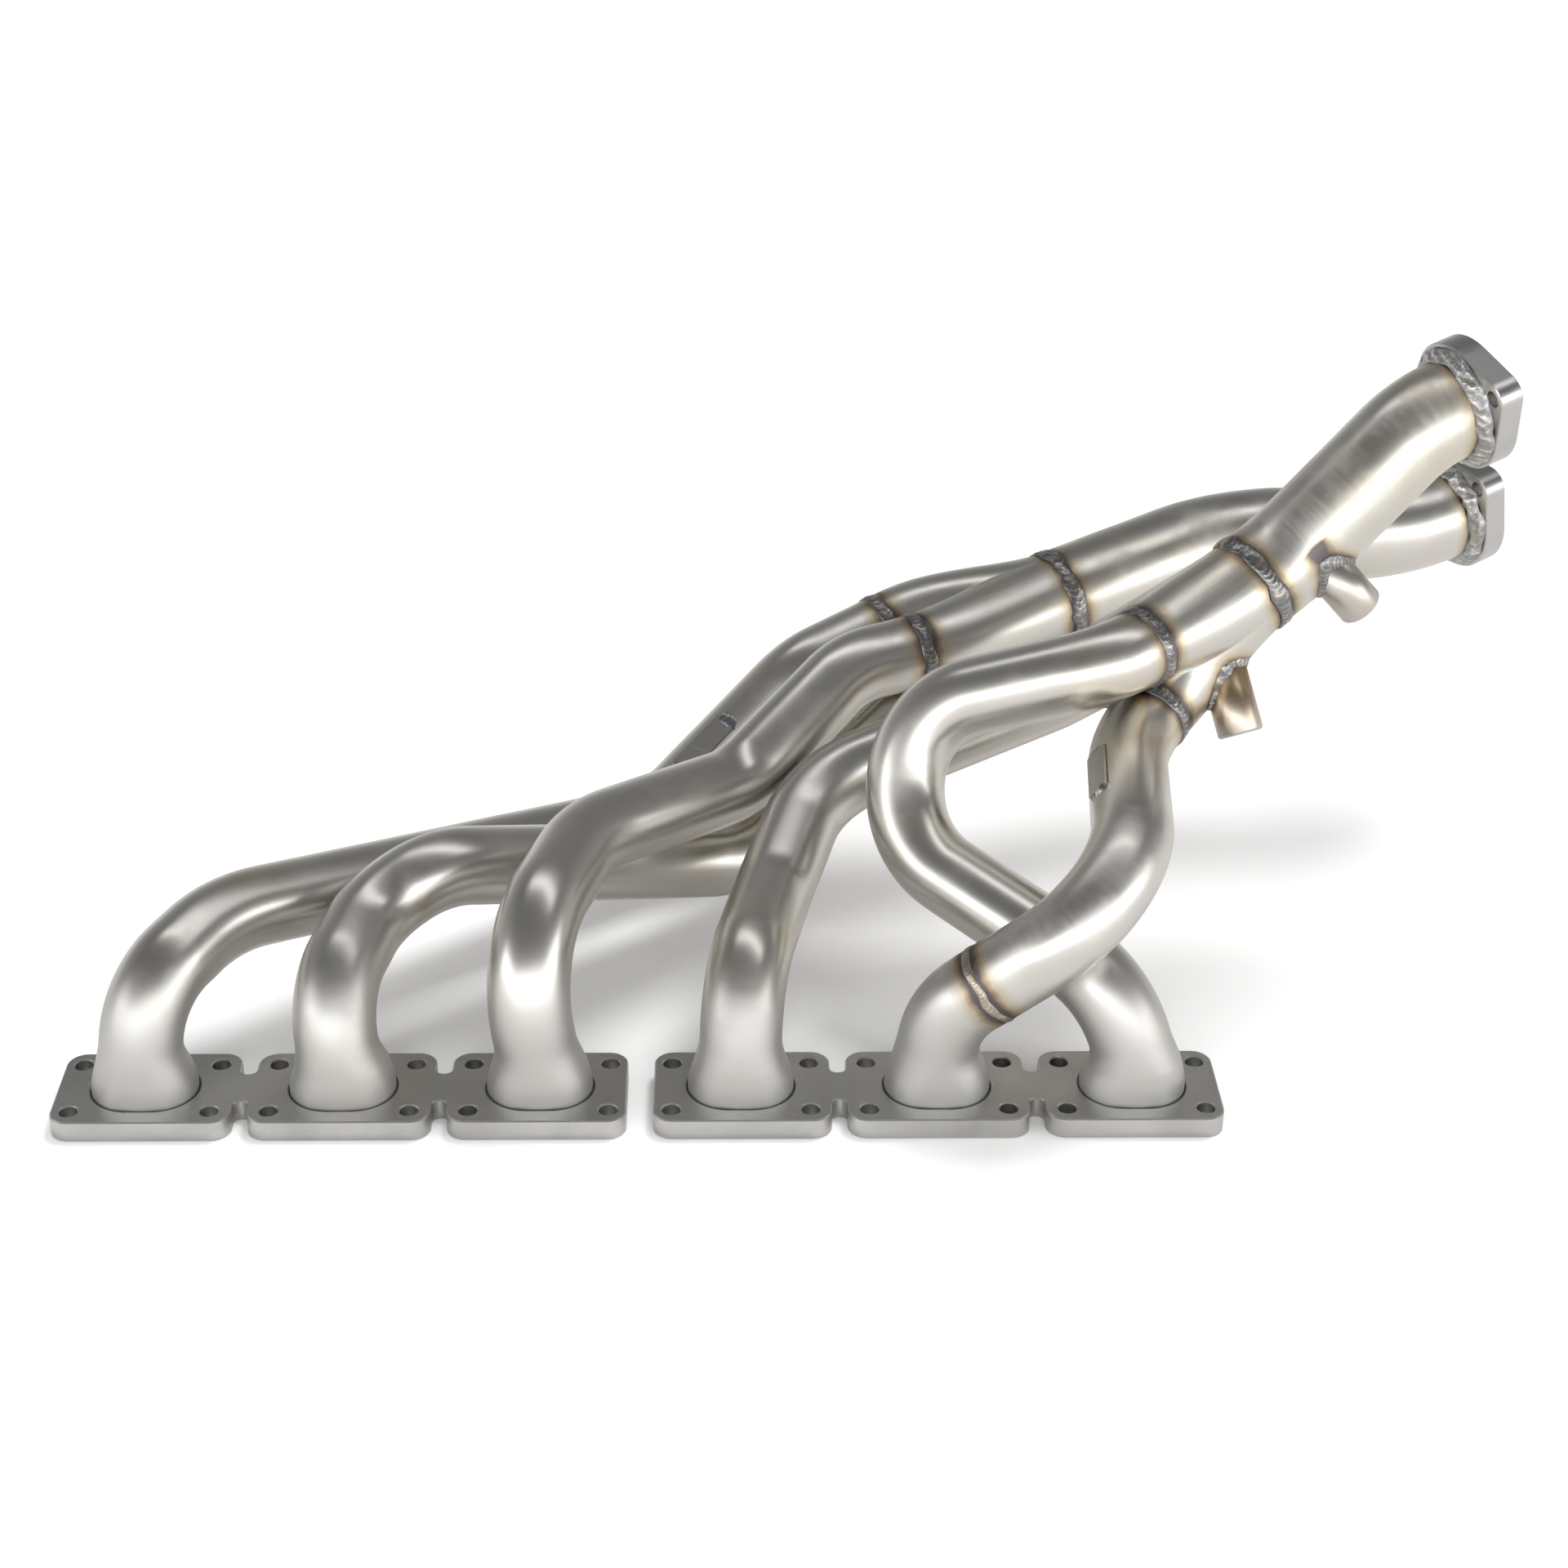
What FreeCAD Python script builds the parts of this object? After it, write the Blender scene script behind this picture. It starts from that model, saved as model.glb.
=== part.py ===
import FreeCAD, Part
import math
import os

# Tubular exhaust manifold for an in-line six: two separate three-into-one weldments, a front one for
# ports 1 to 3 and a rear one for ports 4 to 6. Millimetres. The origin is the centre of port 1 in the
# plane of the cylinder head face, +X runs along the row of ports towards the rear of the engine,
# +Y points away from the ports towards the sump, and +Z points out of the head.

Vec = FreeCAD.Vector
Z_AXIS = Vec(0, 0, 1)
OUT = "parts"

# port row
PORT_PITCH = 91.0
MANIFOLD_GAP = 2.0           # extra pitch between ports 3 and 4, so that the two flanges stay apart
PORTS_PER_FLANGE = 3
BOLT_SPACING_X = 64.0
BOLT_SPACING_Y = 38.0
BOLT_HOLE_R = 4.25

# port flanges
FLANGE_T = 10.0
FLANGE_HALF_Y = 28.4
FLANGE_END = 8.3             # from the outermost bolt holes to the flange's end
NOTCH_W = 7.4
NOTCH_FLOOR_Y = 11.1         # half width of the web left between two pads
PAD_CORNER_R = 9.0
EDGE_BREAK = 0.6

# primary tubes
TUBE_R = 19.05
WALL = 1.5
OVAL_X = 49.0                # outside size of the swelled tube end in the port
OVAL_Y = 38.6
PORT_GAP = 0.35              # around the tube end in the flange
TUBE_END_Z = 3.0             # the tube stops this far short of the head face
SWELL_TOP_Z = 24.0           # the swelled end is round again here

# outlets
OUTLET_R = 25.0
OUTLET_WALL = 1.5
OUTLET_FLANGE_T = 12.6
OUTLET_BOLT_PCD = 70.4
OUTLET_BOLT_R = 4.25
OUTLET_HALF_W = 32.5         # from the bore's axis to each flat side of the flange
OUTLET_LOBE_R = 10.0         # rounding of the two corners that hold the bolts
OUTLET_PLAIN_R = 32.0        # rounding of the two corners with no bolt
OUTLET_PIPE_SHORT = 3.0      # the pipe stops this far short of the gasket face
OUTLET_FIT = 0.1             # clearance of the pipe in its flange
SEAT_STEP = 0.5              # the seat and port welds stay this far inside the sealing face

# sensor bungs, M18 x 1.5
BUNG_R = 11.2
BUNG_BORE_R = 8.2
BUNG_STAND = 23.0            # how far a bung stands out of its pipe
BUNG_CHAMFER = 1.0
BUNG_WELD_W = 4.0            # how far a bung's weld spreads over its pipe, and up the bung
BUNG_WELD_H = 3.0

# weld beads
BEAD_R = 4.0
BEAD_SINK = 2.2              # the bead's centre circle lies this far inside the tube's surface
FLANGE_BEAD_R = 5.8          # the bead between an outlet pipe and its flange is bigger
FLANGE_BEAD_SINK = 0.6

# blank identification plates
PLATE_L = 33.0
PLATE_W = 12.0
PLATE_T = 1.2
PLATE_SINK = 0.2             # the plate's underside lies this far inside the tube's crown
PLATE_WELD_R = 2.4
# each plate: its tube, which run of it, how far along the run, and the way the plate faces
NAME_PLATES = {
    "front_name_plate": (1, 2, 0.42, (-0.5, -0.7, 0.6)),
    "rear_name_plate": (5, 1, 0.69, (-0.8, -0.3, 0.5)),
}

# merge collectors
LEG_STEP = 1.0               # a leg's end is this much smaller in radius than the outlet
LEG_SHIFT = 0.8              # and lies this far off the outlet's axis, towards its own inlet
LEG_PULL_OUT = 0.6           # how strongly a leg's far end is drawn along the outlet's axis
CONE_L = 22.0                # length of the last cone, which is concentric with the outlet
CONE_STEP = 3.0              # how much narrower it is at its upstream end

# Tube centre lines: each starts at the top of its swelled end, over its port, and is straight runs
# between these corners with a tangent arc of the given radius at each corner.
PRIMARIES = {
    1: ([(-1, 0, 59), (32, 54, 71), (232, 208, 37), (308, 240, 108), (352, 260, 122)],
        [38, 83, 44, 60]),
    2: ([(85, 1, 57), (101, 60, 69), (131, 78, 83), (276, 169, 35), (361, 236, 89)],
        [36, 44, 52, 50]),
    3: ([(173, 0, 85), (202, 88, 94), (275, 160, 84), (332, 208, 125), (366, 223, 127)],
        [48, 70, 46, 52]),
    4: ([(274, 1, 64), (291, 86, 64), (313, 150, 87), (431, 164, 133), (451, 164.4, 145)],
        [40, 52, 48, 50]),
    5: ([(365, 0, 48), (451, -10, 118), (461, 111, 128), (475, 131, 137)],
        [40, 56, 60]),
    6: ([(452, 1, 59), (352, 98, 84), (359, 130, 140), (449, 112, 172), (467, 128, 174)],
        [47, 49, 43, 46]),
}
FRONT_OUTLET = ([(443, 268.5, 137), (536, 312.5, 154.6), (629, 304, 158.6), (659, 319, 166)], [122, 108])
REAR_OUTLET = ([(525, 164, 192), (543, 173.2, 202.7), (605.6, 196, 262.7), (625, 204, 268.3)], [84, 64])
TUBE_5_JOINT = 30.0          # tube 5 is cut this far along its second straight run

# direction of each outlet flange's bolt line, turned about its pipe from the level direction
FRONT_FLANGE_TURN = 41.0
REAR_FLANGE_TURN = 26.0

# sensor bungs: where the axis starts inside the pipe, its direction, and how far it runs to the surface
OUTLET_BUNG = ((548, 162.5, 214), (0.667, 0.067, -0.742), 25.0)
COLLECTOR_BUNG = ((505.5, 153.5, 172), (0.258, -0.477, -0.840), 30.0)


def unit(v):
    """A vector's direction."""
    return Vec(v).normalize()


def across(direction, hint=Z_AXIS):
    """The unit vector square to a direction, as near to the hint as it can be."""
    d = unit(direction)
    return unit(hint - d * hint.dot(d))


def placed(shape, centre, direction, hint=Z_AXIS):
    """Moves a shape drawn about the origin so that its Z runs along direction and its X along the hint."""
    x = across(direction, hint)
    z = unit(direction)
    y = z.cross(x)
    m = FreeCAD.Matrix(x.x, y.x, z.x, centre.x, x.y, y.y, z.y, centre.y, x.z, y.z, z.z, centre.z, 0, 0, 0, 1)
    moved = shape.copy()
    moved.Placement = FreeCAD.Placement(m)
    return moved


def disc(centre, direction, radius):
    """A round face."""
    return Part.Face(Part.Wire(Part.makeCircle(radius, centre, direction)))


def joined(shapes):
    """One solid from touching solids."""
    whole = shapes[0].fuse(shapes[1:]) if len(shapes) > 1 else shapes[0]
    return whole.removeSplitter()


def single(shape):
    """The largest solid of a Boolean result."""
    return max(shape.Solids, key=lambda s: s.Volume)


class Route:
    """A centre line of straight runs joined by tangent arcs."""

    def __init__(self, points, radii):
        points = [Vec(*p) for p in points]
        self.steps = []
        here = points[0]
        for before, corner, after, radius in zip(points, points[1:], points[2:], radii):
            way_in = unit(corner - before)
            way_out = unit(after - corner)
            turn = way_in.getAngle(way_out)
            tangent = radius * math.tan(turn / 2)
            start = corner - way_in * tangent
            axis = unit(way_in.cross(way_out))
            self.add_run(here, start)
            self.steps.append(("arc", start, way_in, start + axis.cross(way_in) * radius, axis, turn))
            here = corner + way_out * tangent
        self.add_run(here, points[-1])
        self.start = points[0]
        self.end = points[-1]
        self.start_direction = unit(points[1] - points[0])
        self.direction = unit(points[-1] - points[-2])

    def add_run(self, start, end):
        if (end - start).Length > 0.01:
            self.steps.append(("run", start, unit(end - start), (end - start).Length))

    def rod(self, radius):
        """A solid round bar along the whole line."""
        pieces = []
        for step in self.steps:
            face = disc(step[1], step[2], radius)
            if step[0] == "run":
                pieces.append(face.extrude(step[2] * step[3]))
            else:
                pieces.append(face.revolve(step[3], step[4], math.degrees(step[5])))
        return joined(pieces)


def oval(size_x, size_y, centre):
    """A flat-sided oval wire of four edges, in a plane square to Z."""
    r = size_y / 2
    s = (size_x - size_y) / 2
    x, y, z = centre
    corners = [Vec(x + s, y - r, z), Vec(x + s, y + r, z), Vec(x - s, y + r, z), Vec(x - s, y - r, z)]
    right = Part.Arc(corners[0], Vec(x + s + r, y, z), corners[1])
    left = Part.Arc(corners[2], Vec(x - s - r, y, z), corners[3])
    top = Part.LineSegment(corners[1], corners[2])
    bottom = Part.LineSegment(corners[3], corners[0])
    return Part.Wire([right.toShape(), top.toShape(), left.toShape(), bottom.toShape()])


def round_of_four(radius, centre, direction):
    """A round wire cut into four edges that lie over those of the oval."""
    lean = math.radians(68)
    x = across(direction, Vec(1, 0, 0))
    y = unit(direction).cross(x)

    def at(angle):
        return centre + (x * math.cos(angle) + y * math.sin(angle)) * radius

    marks = [-lean, lean, math.pi - lean, math.pi + lean, 2 * math.pi - lean]
    edges = []
    for a, b in zip(marks, marks[1:]):
        edges.append(Part.Arc(at(a), at((a + b) / 2), at(b)).toShape())
    return Part.Wire(edges)


def port_x(port):
    """Where a port lies along the row."""
    return (port - 1) * PORT_PITCH + (MANIFOLD_GAP if port > PORTS_PER_FLANGE else 0.0)


def swelled_end(port, route, inset):
    """The tube's end in the flange, a straight oval that becomes round at the start of the route."""
    foot_z = TUBE_END_Z if inset == 0 else TUBE_END_Z - 1
    size = (OVAL_X - 2 * inset, OVAL_Y - 2 * inset)
    foot = oval(*size, (port_x(port), 0, foot_z))
    straight = Part.Face(foot).extrude(Vec(0, 0, FLANGE_T - foot_z))
    shoulder = oval(*size, (port_x(port), 0, FLANGE_T))
    top = round_of_four(TUBE_R - inset, route.start, route.start_direction)
    return straight.fuse(Part.makeLoft([shoulder, top], True, True))


def primary_route(port):
    points, radii = PRIMARIES[port]
    return Route([(port_x(port), 0, SWELL_TOP_Z)] + points, radii)


def primary_solids(port):
    """A primary tube's outside, filled, and its bore."""
    route = primary_route(port)
    outside = joined([swelled_end(port, route, 0), route.rod(TUBE_R)])
    bore = joined([swelled_end(port, route, WALL), route.rod(TUBE_R - WALL)])
    return route, outside, bore


def slot_cut(x, side):
    """The notch between two pads, with a round inner end, cut from one side of the flange."""
    r = NOTCH_W / 2
    depth = FLANGE_HALF_Y - NOTCH_FLOOR_Y - r + 1
    inner = side * (NOTCH_FLOOR_Y + r)
    corner_y = inner if side > 0 else inner - depth
    box = Part.makeBox(NOTCH_W, depth, FLANGE_T, Vec(x - r, corner_y, 0))
    return box.fuse(Part.makeCylinder(r, FLANGE_T, Vec(x, inner, 0)))


def bolt_positions(first_port):
    """The twelve bolt hole centres of one flange."""
    for port in range(first_port, first_port + PORTS_PER_FLANGE):
        for sx in (-1, 1):
            for sy in (-1, 1):
                yield port_x(port) + sx * BOLT_SPACING_X / 2, sy * BOLT_SPACING_Y / 2


def port_flange(first_port):
    """A flange of three pads joined by webs, with four bolt holes and an oval port in each pad."""
    last_port = first_port + PORTS_PER_FLANGE - 1
    reach = BOLT_SPACING_X / 2 + FLANGE_END
    x0 = port_x(first_port) - reach
    x1 = port_x(last_port) + reach
    plate = Part.makeBox(x1 - x0, 2 * FLANGE_HALF_Y, FLANGE_T, Vec(x0, -FLANGE_HALF_Y, 0))
    for port in range(first_port, last_port):
        middle = port_x(port) + PORT_PITCH / 2
        plate = plate.cut(slot_cut(middle, 1)).cut(slot_cut(middle, -1))
    plate = plate.removeSplitter()
    corners = [e for e in plate.Edges if upright(e) and abs(abs(e.CenterOfMass.y) - FLANGE_HALF_Y) < 0.01]
    plate = plate.makeFillet(PAD_CORNER_R, corners)
    rims = [e for e in plate.Edges if abs(e.BoundBox.ZMin - FLANGE_T) < 0.01]
    plate = plate.makeChamfer(EDGE_BREAK, rims)
    for x, y in bolt_positions(first_port):
        plate = plate.cut(Part.makeCylinder(BOLT_HOLE_R, FLANGE_T, Vec(x, y, 0)))
        sink_foot = Vec(x, y, FLANGE_T - EDGE_BREAK)
        sink = Part.makeCone(BOLT_HOLE_R, BOLT_HOLE_R + EDGE_BREAK, EDGE_BREAK, sink_foot)
        plate = plate.cut(sink)
    for port in range(first_port, last_port + 1):
        opening = oval(OVAL_X + 2 * PORT_GAP, OVAL_Y + 2 * PORT_GAP, (port_x(port), 0, 0))
        plate = plate.cut(Part.Face(opening).extrude(Vec(0, 0, FLANGE_T)))
    return single(plate)


def upright(edge):
    return edge.BoundBox.XLength < 0.01 and edge.BoundBox.YLength < 0.01


def port_weld(port):
    """The seal weld inside the port, between the tube's end and the flange's opening."""
    x = port_x(port)
    outer = Part.Face(oval(OVAL_X + 2 * PORT_GAP, OVAL_Y + 2 * PORT_GAP, (x, 0, SEAT_STEP)))
    inner = Part.Face(oval(OVAL_X - 2 * WALL, OVAL_Y - 2 * WALL, (x, 0, SEAT_STEP)))
    return single(outer.cut(inner).extrude(Vec(0, 0, TUBE_END_Z - SEAT_STEP)))


def cut_each(shape, tools):
    """Cuts a shape by each tool in turn that comes near it."""
    for tool in tools:
        if shape.BoundBox.intersect(tool.BoundBox):
            shape = single(shape.cut(tool))
    return shape


def ring_bead(centre, direction, pipe_r, neighbours, bead_r=BEAD_R, sink=BEAD_SINK):
    """A weld bead round a pipe, cut back to what stands outside its neighbours."""
    return cut_each(Part.makeTorus(pipe_r - sink, bead_r, centre, direction), neighbours)


def leg(route, outlet, outlet_way, growth):
    """One leg of a merge collector, from a primary's end to the outlet, as a smooth tapered loft."""
    span = (outlet - route.end).Length
    pull_in = route.direction * span
    pull_out = outlet_way * span * LEG_PULL_OUT
    sections = []
    for t in (0.0, 0.33, 0.67, 1.0):
        h00 = 2 * t ** 3 - 3 * t ** 2 + 1
        h10 = t ** 3 - 2 * t ** 2 + t
        h01 = 3 * t ** 2 - 2 * t ** 3
        h11 = t ** 3 - t ** 2
        centre = route.end * h00 + pull_in * h10 + outlet * h01 + pull_out * h11
        way = unit(route.direction * (1 - t) + outlet_way * t)
        radius = TUBE_R + (OUTLET_R - LEG_STEP - TUBE_R) * (1 - (1 - t) ** 2) + growth
        side = across(way, Vec(0, 0, 1))
        wire = Part.Wire(Part.makeCircle(radius))
        sections.append(placed(wire, centre + leg_shift(route, outlet, outlet_way) * t, way, side))
    return Part.makeLoft(sections, True, False)


def leg_shift(route, outlet, outlet_way):
    """The small offset of a leg's end towards its inlet."""
    return across(outlet_way, route.end - outlet) * LEG_SHIFT


def collector(routes, outlet, outlet_way, tubes):
    """Three legs that run together into one round outlet: its outer pieces, filled, and hollow."""
    outer = []
    inner = []
    for route in routes:
        outer.append(leg(route, outlet, outlet_way, 0))
        inner.append(leg(route, outlet, outlet_way, -WALL))
        mouth = Part.makeCylinder(TUBE_R - WALL, 2, route.end - route.direction, route.direction)
        inner.append(mouth)
    back = outlet - outlet_way * CONE_L
    outer.append(Part.makeCone(OUTLET_R - CONE_STEP, OUTLET_R, CONE_L, back, outlet_way))
    inner.append(Part.makeCone(OUTLET_R - CONE_STEP - WALL, OUTLET_R - WALL, CONE_L, back, outlet_way))
    inner.append(Part.makeCylinder(OUTLET_R - WALL, 2, outlet - outlet_way, outlet_way))
    filled = outer[0].fuse(outer[1:])
    hollow = inner[0].fuse(inner[1:])
    return outer, filled, cut_each(single(filled.cut(hollow)), tubes)


def outlet_flange(route, turn):
    """A thick square plate with two well rounded corners and a bolt hole in each of the other two."""
    tip = OUTLET_HALF_W * math.sqrt(2)
    corners = [Vec(tip, 0, 0), Vec(0, tip, 0), Vec(-tip, 0, 0), Vec(0, -tip, 0)]
    outline = Part.makePolygon(corners + corners[:1])
    plate = Part.Face(outline).extrude(Vec(0, 0, OUTLET_FLANGE_T))
    lobes = [e for e in plate.Edges if upright(e) and abs(e.CenterOfMass.x) > 1]
    plate = plate.makeFillet(OUTLET_LOBE_R, lobes)
    plain = [e for e in plate.Edges if upright(e) and abs(e.CenterOfMass.x) < 0.01]
    plate = plate.makeFillet(OUTLET_PLAIN_R, plain)
    rims = [e for e in plate.Edges if e.BoundBox.ZLength < 0.01]
    plate = plate.makeChamfer(EDGE_BREAK, rims)
    plate = plate.cut(Part.makeCylinder(OUTLET_R + OUTLET_FIT, OUTLET_FLANGE_T))
    for side in (-1, 1):
        hole = Part.makeCylinder(OUTLET_BOLT_R, OUTLET_FLANGE_T, Vec(side * OUTLET_BOLT_PCD / 2, 0, 0))
        plate = plate.cut(hole)
    level = across(Z_AXIS, -Z_AXIS.cross(route.direction))
    long_way = FreeCAD.Rotation(route.direction, -turn).multVec(level)
    return placed(single(plate), route.end, route.direction, long_way)


def outlet_pipe(route):
    """The outlet pipe, which runs on into its flange and stops short of the gasket face."""
    run_on = OUTLET_FLANGE_T - OUTLET_PIPE_SHORT
    outside = joined([route.rod(OUTLET_R), Part.makeCylinder(OUTLET_R, run_on, route.end, route.direction)])
    bore_r = OUTLET_R - OUTLET_WALL
    bore = joined([route.rod(bore_r), Part.makeCylinder(bore_r, run_on, route.end, route.direction)])
    return outside, bore


def seat_weld(route):
    """The inner seal weld between the outlet pipe's end and its flange."""
    foot = route.end + route.direction * (OUTLET_FLANGE_T - OUTLET_PIPE_SHORT)
    height = OUTLET_PIPE_SHORT - SEAT_STEP
    outer = Part.makeCylinder(OUTLET_R + OUTLET_FIT, height, foot, route.direction)
    return outer.cut(Part.makeCylinder(OUTLET_R - OUTLET_WALL, height, foot, route.direction))


def bung(place, host, host_grown):
    """A sensor bung, its weld, and the hole it needs: a turned sleeve with a threaded bore."""
    foot = Vec(*place[0])
    way = unit(Vec(*place[1]))
    length = place[2] + BUNG_STAND
    body = Part.makeCylinder(BUNG_R, length, foot, way)
    rim = [e for e in body.Edges if (e.CenterOfMass - (foot + way * length)).Length < 0.1]
    sleeve = body.makeChamfer(BUNG_CHAMFER, rim).cut(host)
    bore = Part.makeCylinder(BUNG_BORE_R, length, foot, way)
    fillet = Part.makeCylinder(BUNG_R + BUNG_WELD_W, length, foot, way).common(host_grown)
    weld = single(fillet.cut(host).cut(body))
    return single(sleeve.cut(bore)), weld, bore


def plate_on(start, end, along, outward, host):
    """A blank plate lying on a tube's straight run, long side along it, with its two end welds."""
    way = unit(end - start)
    up = across(way, outward)
    side = up.cross(way)
    crown = start + (end - start) * along + up * (TUBE_R - PLATE_SINK)
    blank = Part.makeBox(PLATE_L, PLATE_W, PLATE_T, Vec(-PLATE_L / 2, -PLATE_W / 2, 0))
    plate = single(placed(blank, crown, up, way).cut(host))
    welds = []
    for s in (-1, 1):
        middle = crown + way * s * (PLATE_L / 2 + 1) - up * PLATE_SINK
        bar = Part.makeCylinder(PLATE_WELD_R, PLATE_W, middle - side * (PLATE_W / 2), side)
        welds.append(single(bar.cut(host).cut(plate)))
    return plate, Part.makeCompound(welds)


def save(name, shape):
    for solid in shape.Solids:
        if not solid.isValid():
            print("NOT VALID", name)
    print("%-26s solids %d volume %.0f" % (name, len(shape.Solids), shape.Volume))
    shape.exportStep(os.path.join(OUT, name + ".step"))


def split_tube_5(solid):
    """Cuts tube 5 where its port elbow is welded to the rest of it."""
    corner, following = [Vec(*p) for p in PRIMARIES[5][0][:2]]
    way = unit(following - corner)
    joint = corner + way * TUBE_5_JOINT
    bent = Part.makeCylinder(2 * TUBE_R, 2 * TUBE_5_JOINT, joint - way * 2 * TUBE_5_JOINT, way)
    root = Part.makeBox(PORT_PITCH, 4 * TUBE_R, SWELL_TOP_Z, Vec(port_x(5) - PORT_PITCH / 2, -2 * TUBE_R, 0))
    elbow_zone = bent.fuse(root)
    return joint, way, single(solid.common(elbow_zone)), single(solid.cut(elbow_zone))


def one_manifold(name, ports, outlet_line, turn, routes, outsides):
    """The collector, outlet pipe, outlet flange, bungs and welds of one three-into-one weldment."""
    line = Route(*outlet_line)
    mine = [outsides[p] for p in ports]
    mine_routes = [routes[p] for p in ports]
    legs, filled, hollow = collector(mine_routes, line.start, line.start_direction, mine)
    pipe_solid, pipe_bore = outlet_pipe(line)
    pipe = single(pipe_solid.cut(pipe_bore))
    flange = outlet_flange(line, turn)
    if name == "rear":
        sleeve, weld, hole = bung(OUTLET_BUNG, pipe_solid, line.rod(OUTLET_R + BUNG_WELD_H))
        save("outlet_sensor_bung", sleeve)
        save("outlet_sensor_bung_weld", weld)
        pipe = single(pipe.cut(hole))
        grown = leg(routes[5], line.start, line.start_direction, BUNG_WELD_H)
        sleeve, weld, hole = bung(COLLECTOR_BUNG, filled, grown)
        save("collector_sensor_bung", sleeve)
        save("collector_sensor_bung_weld", weld)
        hollow = single(hollow.cut(hole))
    save(name + "_collector", hollow)
    save(name + "_outlet_pipe", pipe)
    save(name + "_outlet_flange", flange)
    beads = []
    for p in ports:
        bead = ring_bead(routes[p].end, routes[p].direction, TUBE_R, mine + legs + beads)
        beads.append(bead)
        save("collector_weld_%d" % p, bead)
    near = legs + [pipe_solid] + beads
    save(name + "_outlet_weld", ring_bead(line.start, line.start_direction, OUTLET_R, near))
    near = [pipe_solid, flange]
    bead = ring_bead(line.end, line.direction, OUTLET_R, near, FLANGE_BEAD_R, FLANGE_BEAD_SINK)
    save(name + "_flange_weld", bead)
    save(name + "_flange_seat_weld", seat_weld(line))


def build():
    os.makedirs(OUT, exist_ok=True)
    routes = {}
    outsides = {}
    tubes = {}
    for port in PRIMARIES:
        routes[port], outsides[port], bore = primary_solids(port)
        tubes[port] = single(outsides[port].cut(bore))
        save("port_weld_%d" % port, port_weld(port))
        if port != 5:
            save("primary_tube_%d" % port, tubes[port])
    save("front_port_flange", port_flange(1))
    save("rear_port_flange", port_flange(1 + PORTS_PER_FLANGE))
    joint, way, elbow, upper = split_tube_5(tubes[5])
    save("primary_tube_5_elbow", elbow)
    save("primary_tube_5_upper", upper)
    save("tube_5_joint_weld", ring_bead(joint, way, TUBE_R, [outsides[5]]))
    one_manifold("front", (1, 2, 3), FRONT_OUTLET, FRONT_FLANGE_TURN, routes, outsides)
    one_manifold("rear", (4, 5, 6), REAR_OUTLET, REAR_FLANGE_TURN, routes, outsides)
    for name, (port, corner, along, outward) in NAME_PLATES.items():
        corners = [Vec(*p) for p in PRIMARIES[port][0][corner:corner + 2]]
        plate, welds = plate_on(*corners, along, Vec(*outward), outsides[port])
        save(name, plate)
        save(name + "_welds", welds)


build()
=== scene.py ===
import math

import bpy
import numpy as np
from mathutils import Matrix, Vector
from mathutils.bvhtree import BVHTree

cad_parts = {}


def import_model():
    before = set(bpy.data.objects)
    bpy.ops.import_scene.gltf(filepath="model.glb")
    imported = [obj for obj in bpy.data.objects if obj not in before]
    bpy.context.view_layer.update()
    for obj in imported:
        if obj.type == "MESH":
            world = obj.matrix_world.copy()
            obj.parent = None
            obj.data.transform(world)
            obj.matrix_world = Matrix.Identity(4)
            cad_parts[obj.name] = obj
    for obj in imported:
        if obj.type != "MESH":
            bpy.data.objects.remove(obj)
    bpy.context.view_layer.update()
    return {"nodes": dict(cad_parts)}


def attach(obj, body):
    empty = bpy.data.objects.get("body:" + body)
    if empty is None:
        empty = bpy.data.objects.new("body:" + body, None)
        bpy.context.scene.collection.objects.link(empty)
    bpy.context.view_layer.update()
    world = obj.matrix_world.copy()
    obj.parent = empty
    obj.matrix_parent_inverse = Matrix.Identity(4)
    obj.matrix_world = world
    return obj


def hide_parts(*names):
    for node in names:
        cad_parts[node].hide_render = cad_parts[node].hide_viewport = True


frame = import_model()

NODES = frame["nodes"]
MM = 0.001
FULL_TURN = 2 * math.pi

# port row and swelled tube ends
PORT_PITCH = 91.0
MANIFOLD_GAP = 2.0
PORTS_PER_FLANGE = 3
FLANGE_T = 10.0
TUBE_R = 19.05
WALL = 1.5
OVAL_X = 49.0
OVAL_Y = 38.6
TUBE_END_Z = 3.0
SWELL_START_Z = 24.0         # the centre lines start here
SHOULDER_LOW = 9.0           # along the tube from its end, where the oval begins to turn round
SHOULDER_HIGH = 33.0         # and where it is round
KNEE_EASE = 15.0             # directions are averaged this far each way, so that no rings cross at the knee

# outlets and bungs
OUTLET_R = 25.0
OUTLET_WALL = 1.5
OUTLET_FLANGE_T = 12.6
OUTLET_PIPE_SHORT = 3.0
BUNG_R = 11.2
BUNG_BORE_R = 8.2
BUNG_STAND = 23.0
BUNG_SEATED = 12.0           # how far its foot reaches below the pipe's surface
FILLET_LEG = 6.0             # of the bead between an outlet pipe and its flange

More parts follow.
